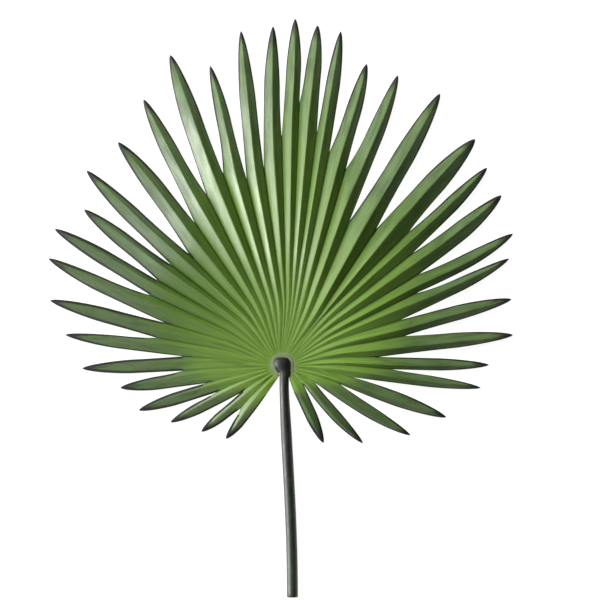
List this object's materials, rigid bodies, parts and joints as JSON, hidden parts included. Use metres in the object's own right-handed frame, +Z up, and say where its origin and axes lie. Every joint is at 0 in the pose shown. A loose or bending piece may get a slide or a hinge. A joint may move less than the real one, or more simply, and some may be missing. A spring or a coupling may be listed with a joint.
{
  "type": "fan palm leaf",
  "caption": "Cut fan palm leaf lying face up: a round pleated blade slit into pointed segments, a pale collar at its hub and a smooth dark stalk.",
  "frame": {"origin": "on the surface the leaf lies on, under the middle of its bounding box", "axes": "+Z up from the surface, through the blade's upper face; +Y along the leaf from the stalk's cut end to the middle tips; +X to the right seen from above with the tips away"},
  "size_m": [0.4662, 0.58, 0.022],
  "materials": {
    "leaf_green": "waxy leaf, lime at the hub, deep green outwards, near-black tips",
    "collar_pale": "matt, pale grey-green",
    "stalk_dark": "smooth, satin, dark grey-green"
  },
  "bodies": {
    "root": {"leaf_blade": "leaf_green", "hastula": "collar_pale", "leaf_stalk": "stalk_dark"}
  },
  "joints": []
}
